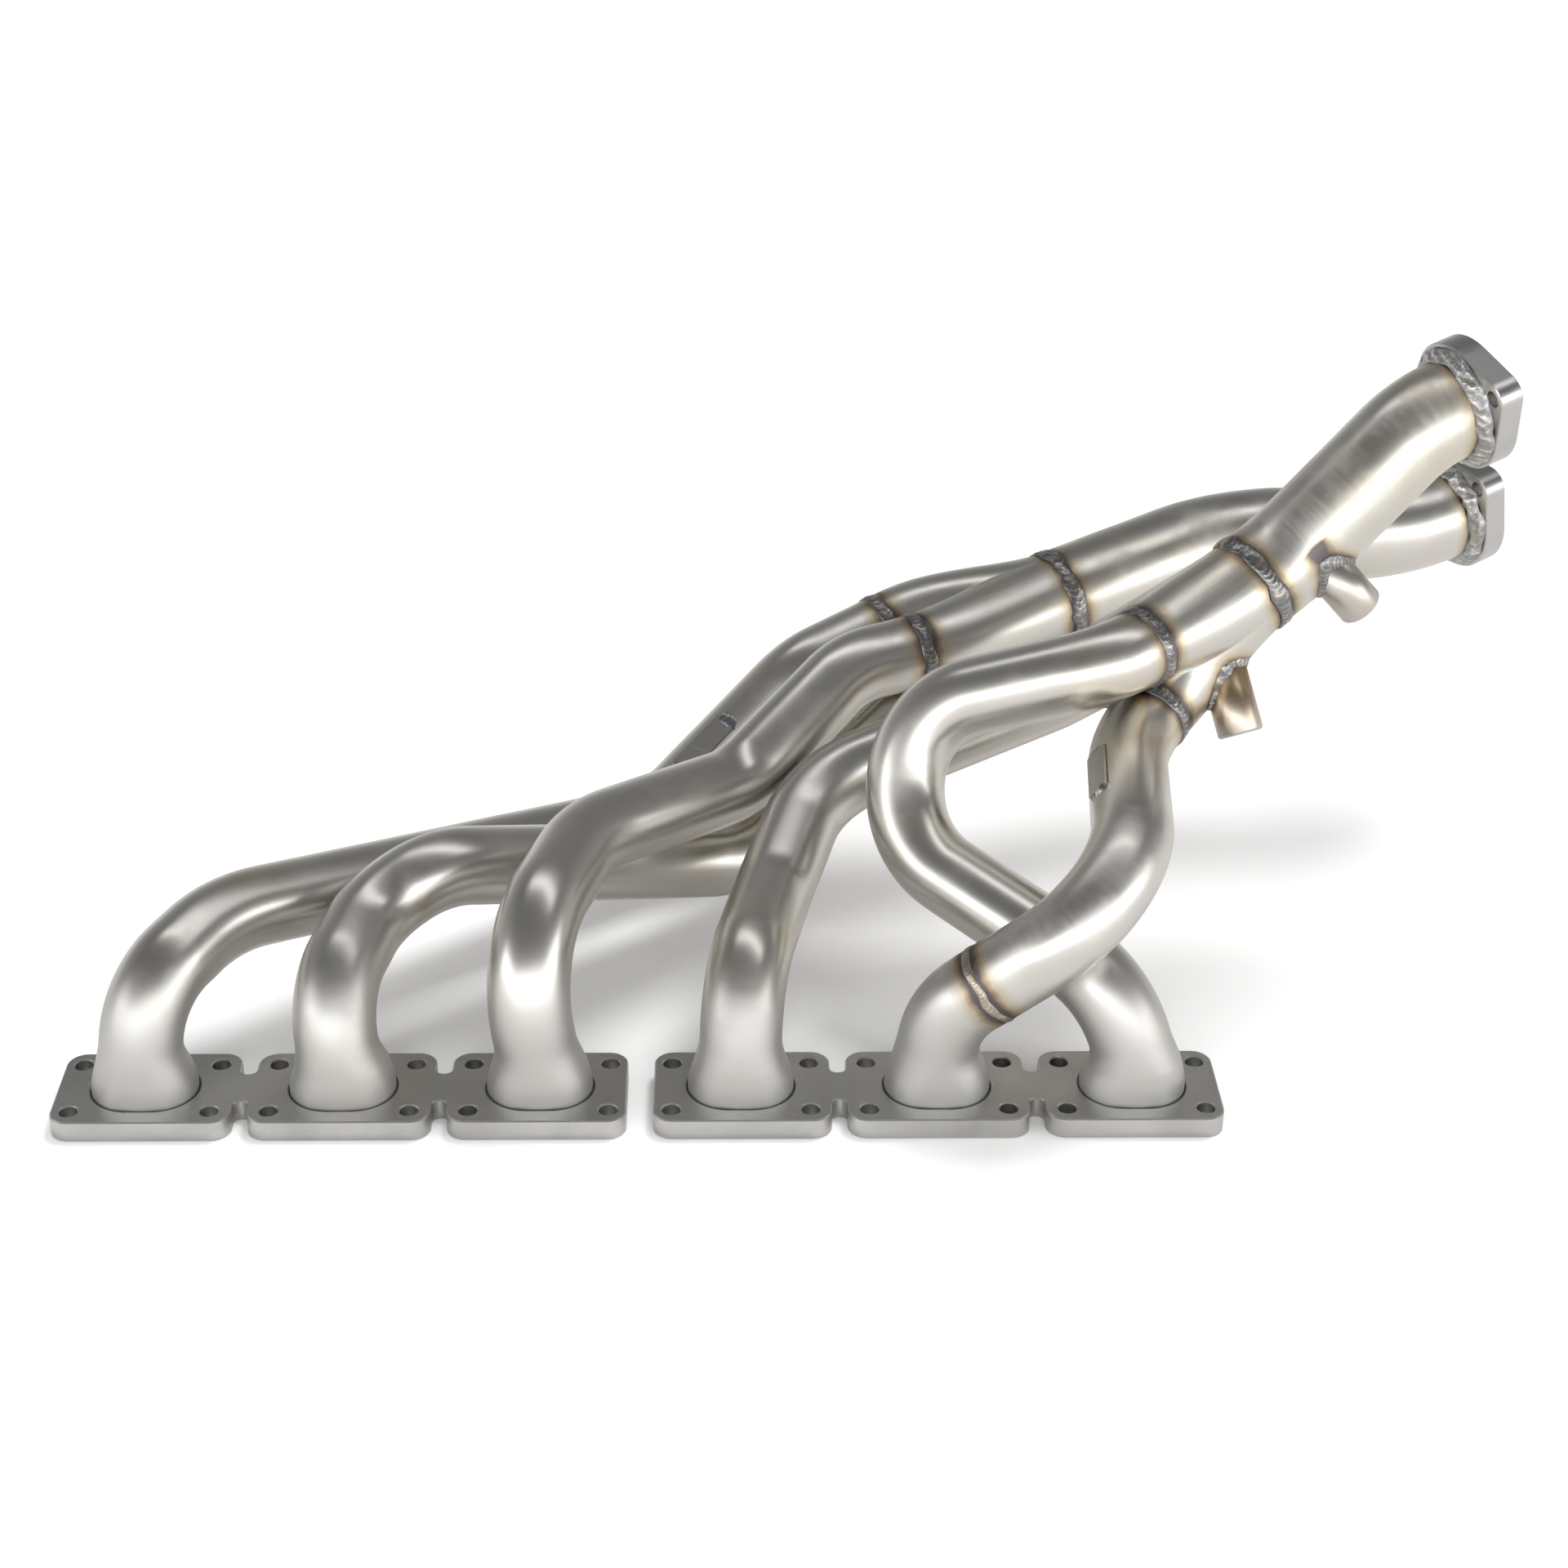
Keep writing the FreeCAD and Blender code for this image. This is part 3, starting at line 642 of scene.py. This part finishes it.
def collector_steel(name, way, welds):
    """Formed stainless sheet, polished along the collector with long scratches, and heat tint at the welds.
    """
    g = Graph(name)
    turn = Vector((1, 0, 0)).rotation_difference(Vector(unit(way))).inverted().to_euler()
    lengthwise = g.node("ShaderNodeMapping", {"Vector": g.coords, "Rotation": turn}).outputs[0]
    # faint straw patches at random: partly a slight oxide tint, partly painted reflection
    cloud = g.noise(g.coords, 16.0, 3.0, distortion=0.5)
    tone = g.mix(g.span(cloud, 0.48, 0.74, 0.0, 0.5), STEEL, STRAW)
    scratch = g.noise(g.scaled(lengthwise, (0.03, 1.0, 1.0)), 520.0, 2.0, 0.65)
    patch = g.noise(g.coords, 26.0, 3.0)
    tone, share = heat_tint(g, tone, welds)
    roughness = g.math("ADD", 0.28, g.math("MULTIPLY", g.math("SUBTRACT", patch, 0.5), 0.12))
    roughness = g.math("ADD", roughness, g.math("MULTIPLY", scratch, 0.09))
    roughness = g.math("ADD", roughness, g.math("MULTIPLY", g.math("SUBTRACT", 1.0, share), 0.12))
    height = g.math("MULTIPLY", scratch, g.span(patch, 0.42, 0.65, 0.25, 1.0))
    return g.finish(tone, roughness, g.bump(height, FINE_STRENGTH, FINE_DEPTH))


def weld_metal(name, dark, light, shine):
    """Oxidised bead: dark in the hollows and towards its edges, light on the ridges and crown as a painted
    highlight, with specks and patches of brown and blue.
    """
    g = Graph(name)
    relief = g.node("ShaderNodeAttribute", attribute_name="relief").outputs["Fac"]
    speck = g.noise(g.coords, 900.0, 3.0, 0.7)
    patch = g.noise(g.coords, 210.0, 3.0)
    # the relief lifts the colour on the ridges and crown: a painted highlight
    level = g.math("ADD", g.math("MULTIPLY", relief, 0.62), g.math("MULTIPLY", speck, 0.48))
    middle = tuple(0.65 * a + 0.35 * b for a, b in zip(dark, light))
    tone = g.ramp(level, (0.34, dark), (0.56, middle), (0.74, light))
    tone = g.mix(g.span(patch, 0.56, 0.70, 0.0, 0.55), tone, (0.46, 0.36, 0.24))
    tone = g.mix(g.span(patch, 0.42, 0.30, 0.0, 0.45), tone, (0.25, 0.28, 0.36))
    roughness = g.math("SUBTRACT", shine + 0.12, g.math("MULTIPLY", level, 0.20))
    pits = g.math("ADD", g.noise(g.coords, 600.0, 3.0, 0.7), g.math("MULTIPLY", speck, 0.5))
    return g.finish(tone, roughness, g.bump(pits, 0.4, 0.00018))


def port_distance(g, first):
    """Distance outside the nearest oval port of a head flange, in millimetres, and 0 inside it."""
    split = g.node("ShaderNodeSeparateXYZ", {0: g.coords})
    x = g.math("SUBTRACT", g.math("MULTIPLY", split.outputs["X"], 1 / MM), port_x(first) - PORT_PITCH / 2)
    x = g.math("SUBTRACT", g.math("FLOORED_MODULO", x, PORT_PITCH), PORT_PITCH / 2)
    x = g.math("MAXIMUM", g.math("SUBTRACT", g.math("ABSOLUTE", x), (OVAL_X - OVAL_Y) / 2), 0.0)
    y = g.math("MULTIPLY", split.outputs["Y"], 1 / MM)
    away = g.math("SQRT", g.math("ADD", g.math("MULTIPLY", x, x), g.math("MULTIPLY", y, y)))
    return g.math("SUBTRACT", away, OVAL_Y / 2)


def flange_steel(name, tone, rough, grain_way=(1.0, 0.06, 1.0), first_port=None):
    """Cut plate: fine machining lines, stains and small scratches, with spatter at ports and painted shade in
    the gap round each port.
    """
    g = Graph(name)
    lines = g.noise(g.scaled(g.coords, grain_way), 1000.0, 3.0, 0.65)
    cloud = g.noise(g.coords, 22.0, 4.0, distortion=0.7)
    mottle = g.noise(g.coords, 420.0, 3.0, 0.6)
    crossing = g.node("ShaderNodeMapping", {"Vector": g.coords, "Rotation": (0.0, 0.0, 0.6)}).outputs[0]
    scratch = g.noise(g.scaled(crossing, (0.02, 1.0, 1.0)), 420.0, 2.0, 0.5)
    mark = g.span(scratch, 0.70, 0.74, 0.0, 1.0)
    colour = g.mix(g.span(cloud, 0.42, 0.70, 0.0, 0.6), tone, tuple(c * 0.78 for c in tone))
    colour = g.mix(g.math("MULTIPLY", mottle, 0.2), colour, (0.52, 0.50, 0.46))
    colour = g.mix(g.math("MULTIPLY", mark, 0.35), colour, (0.75, 0.74, 0.72))
    if first_port is not None:
        away = port_distance(g, first_port)
        spot = g.span(g.noise(g.coords, 700.0, 2.0, 0.5), 0.66, 0.70)
        colour = g.mix(g.math("MULTIPLY", spot, g.span(away, 3.0, 7.0, 0.8, 0.0)), colour, (0.88, 0.87, 0.84))
        # painted shade: near black in the gap round each port, and inside it
        colour = g.mix(g.span(away, 0.5, 1.5, 0.9, 0.0), colour, (0.03, 0.03, 0.03))
    roughness = g.math("ADD", rough - 0.08, g.math("MULTIPLY", mottle, 0.16))
    roughness = g.math("ADD", roughness, g.math("MULTIPLY", g.math("SUBTRACT", cloud, 0.5), 0.12))
    height = g.math("ADD", g.math("MULTIPLY", lines, 0.5), g.math("MULTIPLY", mottle, 0.4))
    height = g.math("SUBTRACT", height, mark)
    return g.finish(colour, roughness, g.bump(height, 0.30, FINE_DEPTH))


def bung_steel(name, gold):
    """Turned bar: fine lines round it, and patches of a golden heat tint, as strong as gold says."""
    g = Graph(name)
    flow = g.node("ShaderNodeUVMap", uv_map="flow").outputs["UV"]
    lines = g.noise(g.scaled(flow, (1.0, 0.02, 1.0)), 1600.0, 3.0, 0.6)
    cloud = g.noise(g.coords, 32.0, 2.0)
    tone = g.mix(g.math("MULTIPLY", g.span(cloud, 0.30, 0.62), gold), (0.58, 0.56, 0.53), (0.54, 0.41, 0.27))
    roughness = g.math("ADD", 0.27, g.math("MULTIPLY", lines, 0.14))
    return g.finish(tone, roughness, g.bump(lines, 0.15, 0.00003))


def paint(piece, material):
    """Gives a piece, or a CAD node, its material."""
    piece.data.materials.clear()
    piece.data.materials.append(material)


# ---------------------------------------------------------------- the manifold

LINES = {port: primary_route(port) for port in PRIMARIES}
OUTLET_LINES = {name: Route(*line) for name, line in OUTLETS.items()}


def joint_of_tube_5():
    """Centre and direction of the butt weld between tube 5's two pieces."""
    corner = np.array(PRIMARIES[5][0][0], float)
    way = unit(np.array(PRIMARIES[5][0][1], float) - corner)
    return corner + way * TUBE_5_JOINT, way


def weld_of(port):
    """Centre, direction and radius of the weld between a primary and its collector."""
    return tuple(LINES[port].end), tuple(LINES[port].direction), TUBE_R


def outlet_weld(name):
    """The same, of the weld between a collector and its outlet pipe."""
    line = OUTLET_LINES[name]
    return tuple(line.spots[0]), tuple(line.ways[0]), OUTLET_R


def flange_weld(name):
    """The same, of the weld between an outlet pipe and its flange."""
    line = OUTLET_LINES[name]
    return tuple(line.end), tuple(line.direction), OUTLET_R


def bung_heat(name):
    """The same, of a bung."""
    foot, way = BUNGS[name][:2]
    return foot, way, BUNG_R


def primary_tubes():
    """The bent tubes from port to collector; tube 5 is in two pieces."""
    for port, line in LINES.items():
        if port == 5:
            continue
        tube = pipe("primary_tube_%d_bent" % port, line, TUBE_R, WALL, np.arange(len(line.spots)), True, port)
        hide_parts("primary_tube_%d" % port)
        steel = tube_steel("tube_%d_steel" % port, port, [weld_of(port)], 0.35 + 0.1 * (port % 3))
        paint(tube, steel)
    line = LINES[5]
    joint, way = joint_of_tube_5()
    split = line.along[np.argmin(np.linalg.norm(line.spots - joint, axis=1))]
    welds = [(tuple(joint), tuple(way), TUBE_R), weld_of(5)]
    for name, low, high, lines in (("elbow", 0.0, split, 0.3), ("upper", split, line.along[-1], 0.9)):
        tube = pipe("primary_tube_5_%s_bent" % name, line, TUBE_R, WALL, line.part(low, high), True, 5)
        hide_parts("primary_tube_5_" + name)
        paint(tube, tube_steel("tube_5_%s_steel" % name, 5, welds, lines))


def outlet_pipes():
    """The two outlet pipes, which run on into their flanges."""
    for name, (points, radii) in OUTLETS.items():
        line = OUTLET_LINES[name]
        tip = line.end + line.direction * (OUTLET_FLANGE_T - OUTLET_PIPE_SHORT)
        longer = Route(points[:-1] + [tuple(tip)], radii)
        every = np.arange(len(longer.spots))
        tube = pipe(name + "_outlet_pipe_bent", longer, OUTLET_R, OUTLET_WALL, every, False, 9)
        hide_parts(name + "_outlet_pipe")
        welds = [outlet_weld(name), flange_weld(name)]
        if name == "rear":
            welds.append(bung_heat("outlet_sensor_bung"))
        paint(tube, tube_steel(name + "_outlet_steel", None, welds, 1.0))


def collectors():
    """The two collectors keep their CAD shape and get their metal."""
    for name, ports in (("front", (1, 2, 3)), ("rear", (4, 5, 6))):
        welds = [weld_of(p) for p in ports] + [outlet_weld(name)]
        if name == "rear":
            welds.append(bung_heat("collector_sensor_bung"))
        steel = collector_steel(name + "_collector_steel", OUTLET_LINES[name].ways[0], welds)
        paint(NODES[name + "_collector"], steel)


def weld_beads():
    """Every outside bead, in place of the plain CAD rings."""
    dark = weld_metal("dark_weld", (0.20, 0.195, 0.195), (0.62, 0.61, 0.58), 0.34)
    pale = weld_metal("pale_weld", (0.36, 0.36, 0.355), (0.74, 0.73, 0.72), 0.38)
    for port in PRIMARIES:
        centre, way, radius = weld_of(port)
        shape = BeadShape(width=7.8, height=1.15, pitch=2.9, ripple=0.10, lumps=0.14, seed=20 + port)
        made = bead("collector_weld_%d_bead" % port, *ring_path(centre, way, radius), shape)
        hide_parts("collector_weld_%d" % port)
        paint(made, dark)
    joint, way = joint_of_tube_5()
    shape = BeadShape(width=4.2, height=0.55, pitch=2.0, ripple=0.05, lumps=0.08, seed=31)
    made = bead("tube_5_joint_bead", *ring_path(joint, way, TUBE_R), shape)
    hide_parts("tube_5_joint_weld")
    paint(made, weld_metal("joint_weld", (0.36, 0.31, 0.26), (0.80, 0.73, 0.62), 0.36))
    for k, name in enumerate(OUTLETS):
        centre, way, radius = outlet_weld(name)
        shape = BeadShape(width=8.2, height=1.25, pitch=3.2, ripple=0.11, lumps=0.14, seed=40 + k)
        made = bead(name + "_outlet_bead", *ring_path(centre, way, radius), shape)
        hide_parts(name + "_outlet_weld")
        paint(made, dark)
        centre, way, radius = flange_weld(name)
        middle = np.asarray(centre) - np.asarray(way) * FILLET_LEG / 2
        path, out = ring_path(middle, way, radius + FILLET_LEG / 2)
        out = (out - np.asarray(way)) / math.sqrt(2)
        shape = BeadShape(width=8.8, height=1.3, pitch=3.8, ripple=0.08, lumps=0.28, seed=50 + k)
        made = bead(name + "_flange_bead", path, out, shape)
        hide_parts(name + "_flange_weld")
        paint(made, pale)
        paint(NODES[name + "_flange_seat_weld"], pale)
    for k, name in enumerate(BUNGS):
        path, out = bung_path(name)
        shape = BeadShape(width=7.2, height=1.3, pitch=2.7, ripple=0.10, lumps=0.18, seed=60 + k)
        made = bead(name + "_bead", path, out, shape)
        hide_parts(name + "_weld")
        paint(made, dark)
    for port in PRIMARIES:
        paint(NODES["port_weld_%d" % port], dark)


def bungs():
    """The two sensor bungs; the one on the collector took more heat."""
    for name, gold in (("outlet_sensor_bung", 0.25), ("collector_sensor_bung", 1.0)):
        made = bung(name)
        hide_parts(name)
        paint(made, bung_steel(name + "_steel", gold))


def flanges():
    """The head flanges and the outlet flanges keep their CAD shape and get their metal."""
    for name, first in (("front", 1), ("rear", 4)):
        steel = flange_steel(name + "_port_flange_steel", (0.60, 0.60, 0.59), 0.36, first_port=first)
        paint(NODES[name + "_port_flange"], steel)
        steel = flange_steel(name + "_outlet_flange_steel", (0.56, 0.56, 0.56), 0.32)
        paint(NODES[name + "_outlet_flange"], steel)


def plate_bead_path(centre, along, out, end):
    """A short line across one end of a plate, with the way out of that corner at each sample."""
    side = np.cross(along, out)
    t = np.linspace(-1, 1, 40)
    middle = centre + along * end * (PLATE_L / 2 + PLATE_BEAD_OUT)
    path = middle + np.outer(t * PLATE_W * PLATE_BEAD_SHARE, side)
    path = path - np.outer(t * t * PLATE_BEAD_SAG, out)
    way = unit(out + along * end * 0.4)
    return path, np.tile(way, (len(t), 1))


def name_plates():
    """Blank plates, each held by a short bead at both ends."""
    steel = flange_steel("plate_steel", (0.60, 0.585, 0.55), 0.30, (0.06, 1.0, 1.0))
    dark = weld_metal("plate_weld", (0.22, 0.22, 0.23), (0.74, 0.72, 0.68), 0.34)
    for k, (name, (port, low, high, share, out)) in enumerate(NAME_PLATES.items()):
        paint(NODES[name + "_name_plate"], steel)
        corners = [np.array(p, float) for p in PRIMARIES[port][0]]
        start = corners[low]
        stop = corners[high]
        along = unit(stop - start)
        out = unit(np.array(out) - along * (np.array(out) @ along))
        centre = start + (stop - start) * share + out * TUBE_R
        for end, label in ((-1, "low"), (1, "high")):
            path, way = plate_bead_path(centre, along, out, end)
            shape = BeadShape(width=6.6, height=1.7, pitch=2.6, ripple=0.10, lumps=0.25, seed=70 + k)
            made = bead("%s_plate_bead_%s" % (name, label), path, way, shape, closed=False)
            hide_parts(name + "_name_plate_welds")
            paint(made, dark)


# ---------------------------------------------------------------- studio

CAMERA_AT = (0.2660, -1.0890, 0.7493)
CAMERA_DOWN = 28.06          # degrees
CAMERA_YAW = 1.45
CAMERA_ROLL = 0.62
CAMERA_LENS = 64.69
SENSOR_WIDTH = 36.0
# the room in the metal: how high the direction points, from 0 at the horizon to 1, and how bright it is there
ROOM_LEVELS = ((0.0, 0.85), (0.22, 0.33), (0.75, 0.16))
FLOOR_WHITE = (0.93, 0.93, 0.93)
MIRRORED_FLOOR = (0.68, 0.665, 0.65)
FLOOR_HALF = 9.0
FLOOR_Z = -0.0003            # just under the head faces
FLOOR_LIGHT = 0.60
SUN_LIGHT = 1.60
SUN_WAY = (-0.38, -0.42, -1.0)
SUN_SPREAD = 24              # degrees


def camera():
    """A short telephoto, looking along +Y and down."""
    down, yaw, roll = (math.radians(a) for a in (CAMERA_DOWN, CAMERA_YAW, CAMERA_ROLL))
    ahead = Vector((math.sin(yaw) * math.cos(down), math.cos(yaw) * math.cos(down), -math.sin(down)))
    level = Vector((math.cos(yaw), -math.sin(yaw), 0))
    top = level.cross(ahead)
    right = level * math.cos(roll) + top * math.sin(roll)
    up = top * math.cos(roll) - level * math.sin(roll)
    made = bpy.data.objects.new("camera", bpy.data.cameras.new("camera"))
    bpy.context.scene.collection.objects.link(made)
    turn = Matrix((right, up, -ahead)).transposed()
    made.matrix_world = Matrix.Translation(CAMERA_AT) @ turn.to_4x4()
    made.data.lens = CAMERA_LENS
    made.data.sensor_width = SENSOR_WIDTH
    made.data.clip_start = 0.05
    made.data.clip_end = 60.0
    bpy.context.scene.camera = made


def softbox(name, place, aim, size_x, size_y, power):
    """A white rectangular light, turned to face the aim."""
    light = bpy.data.lights.new(name, "AREA")
    light.shape = "RECTANGLE"
    light.size = size_x
    light.size_y = size_y
    light.energy = power
    made = bpy.data.objects.new(name, light)
    made.location = place
    made.rotation_euler = (Vector(aim) - Vector(place)).to_track_quat("-Z", "Y").to_euler()
    bpy.context.scene.collection.objects.link(made)


def floor():
    """A white floor. The metal mirrors a greyer one, so that the tubes' undersides aren't washed out."""
    mesh = bpy.data.meshes.new("floor")
    half = FLOOR_HALF
    corners = [(-half, -half, FLOOR_Z), (half, -half, FLOOR_Z), (half, half, FLOOR_Z), (-half, half, FLOOR_Z)]
    mesh.from_pydata(corners, [], [(0, 1, 2, 3)])
    made = bpy.data.objects.new("floor", mesh)
    bpy.context.scene.collection.objects.link(made)
    material = bpy.data.materials.new("floor_white")
    material.use_nodes = True
    tree = material.node_tree
    shader = tree.nodes["Principled BSDF"]
    path = tree.nodes.new("ShaderNodeLightPath")
    mix = tree.nodes.new("ShaderNodeMix")
    mix.data_type = "RGBA"
    colours = [s for s in mix.inputs if s.type == "RGBA"]
    tree.links.new(path.outputs["Is Glossy Ray"], mix.inputs[0])
    colours[0].default_value = (*FLOOR_WHITE, 1)
    colours[1].default_value = (*MIRRORED_FLOOR, 1)
    tree.links.new([s for s in mix.outputs if s.type == "RGBA"][0], shader.inputs["Base Color"])
    shader.inputs["Roughness"].default_value = 0.9
    shader.inputs["Specular IOR Level"].default_value = 0.1
    mesh.materials.append(material)


def world():
    """An even light on the floor. The metal mirrors a room that is dim overhead, so that it shows bands."""
    made = bpy.data.worlds.new("studio")
    made.use_nodes = True
    tree = made.node_tree
    tree.nodes.clear()
    coords = tree.nodes.new("ShaderNodeTexCoord")
    split = tree.nodes.new("ShaderNodeSeparateXYZ")
    tree.links.new(coords.outputs["Generated"], split.inputs[0])
    ramp = tree.nodes.new("ShaderNodeValToRGB")
    ramp.color_ramp.interpolation = "EASE"
    tree.links.new(split.outputs["Z"], ramp.inputs["Fac"])
    while len(ramp.color_ramp.elements) < len(ROOM_LEVELS):
        ramp.color_ramp.elements.new(0.5)
    for element, (height, level) in zip(ramp.color_ramp.elements, ROOM_LEVELS):
        element.position = height
        element.color = (level, level, level, 1)
    path = tree.nodes.new("ShaderNodeLightPath")
    mix = tree.nodes.new("ShaderNodeMix")
    mix.data_type = "RGBA"
    colours = [s for s in mix.inputs if s.type == "RGBA"]
    tree.links.new(path.outputs["Is Diffuse Ray"], mix.inputs[0])
    tree.links.new(ramp.outputs["Color"], colours[0])
    colours[1].default_value = (FLOOR_LIGHT, FLOOR_LIGHT, FLOOR_LIGHT, 1)
    back = tree.nodes.new("ShaderNodeBackground")
    tree.links.new([s for s in mix.outputs if s.type == "RGBA"][0], back.inputs["Color"])
    out = tree.nodes.new("ShaderNodeOutputWorld")
    tree.links.new(back.outputs[0], out.inputs[0])
    made.cycles.sampling_method = "NONE"
    bpy.context.scene.world = made


def sun():
    """The shadow light, from behind on the right. It lights the floor and isn't mirrored in the metal."""
    light = bpy.data.lights.new("sun", "SUN")
    light.energy = SUN_LIGHT
    light.angle = math.radians(SUN_SPREAD)
    made = bpy.data.objects.new("sun", light)
    made.rotation_euler = Vector(SUN_WAY).to_track_quat("-Z", "Y").to_euler()
    made.visible_glossy = False
    bpy.context.scene.collection.objects.link(made)


def studio():
    """Long strips in front and at the sides, a thin one overhead, the room, the sun and the floor."""
    centre = (0.30, 0.12, 0.08)
    softbox("front_strip", (0.30, -2.20, 0.84), centre, 3.8, 0.90, 33)
    softbox("left_strip", (-1.95, -1.10, 0.80), centre, 2.0, 0.90, 14)
    softbox("right_strip", (2.60, -1.10, 0.62), centre, 2.2, 1.00, 18)
    softbox("overhead", (0.45, 0.45, 1.80), centre, 2.4, 0.35, 5)
    world()
    sun()
    floor()
    bpy.context.scene.view_settings.view_transform = "Standard"
    bpy.context.scene.view_settings.exposure = 0.0


camera()
studio()
primary_tubes()
outlet_pipes()
collectors()
weld_beads()
bungs()
flanges()
name_plates()
